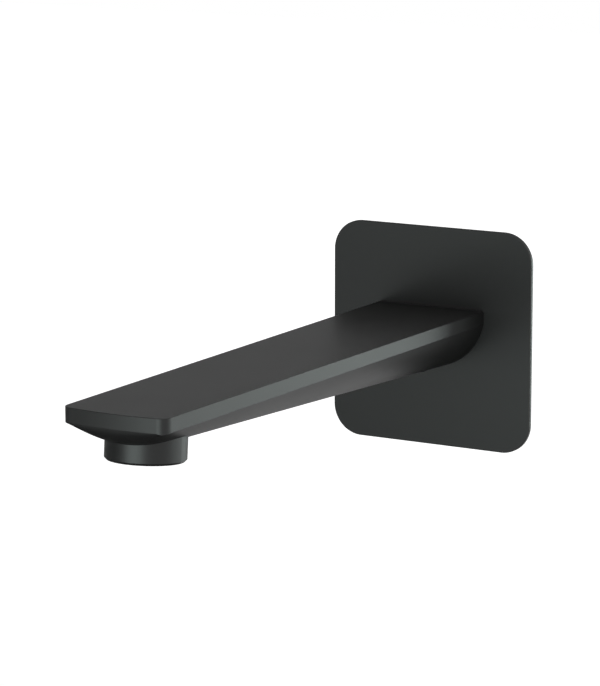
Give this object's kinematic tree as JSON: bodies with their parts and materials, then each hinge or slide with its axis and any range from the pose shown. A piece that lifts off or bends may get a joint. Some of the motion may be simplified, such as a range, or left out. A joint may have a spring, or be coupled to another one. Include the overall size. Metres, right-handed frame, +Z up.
{
  "type": "bath spout",
  "caption": "Wall-mounted bath spout in satin black: flat tapering deck over a boat-shaped belly, short round outlet under the tip, square cover plate with rounded corners.",
  "frame": {"origin": "on the supply axis, in the plane of the finished wall, which the gasket's rear face touches", "axes": "+Z up, -Y straight out of the wall along the spout, +Y into the wall along the supply, +X to the right for someone who faces the wall"},
  "size_m": [0.084, 0.2372, 0.084],
  "materials": {
    "black_coating": "satin black coating with a very fine grain, over cast brass or pressed sheet",
    "screw_steel": "blackened steel",
    "turned_brass": "turned, with fine tool rings",
    "seal_rubber": "moulded rubber",
    "gasket_foam": "closed-cell foam",
    "aerator_black": "moulded black plastic",
    "screen_plastic": "moulded grey plastic",
    "honeycomb_plastic": "moulded pale grey plastic"
  },
  "bodies": {
    "root": {"spout_body": "black_coating", "cover_plate": "black_coating", "grub_screw": "screw_steel", "wall_connector": "turned_brass", "connector_o_ring_front": "seal_rubber", "connector_o_ring_rear": "seal_rubber", "root_seal": "seal_rubber", "wall_gasket": "gasket_foam", "aerator_housing": "aerator_black", "aerator_seal": "seal_rubber", "aerator_screen": "screen_plastic", "aerator_jet_disc": "screen_plastic", "aerator_honeycomb": "honeycomb_plastic"}
  },
  "joints": []
}
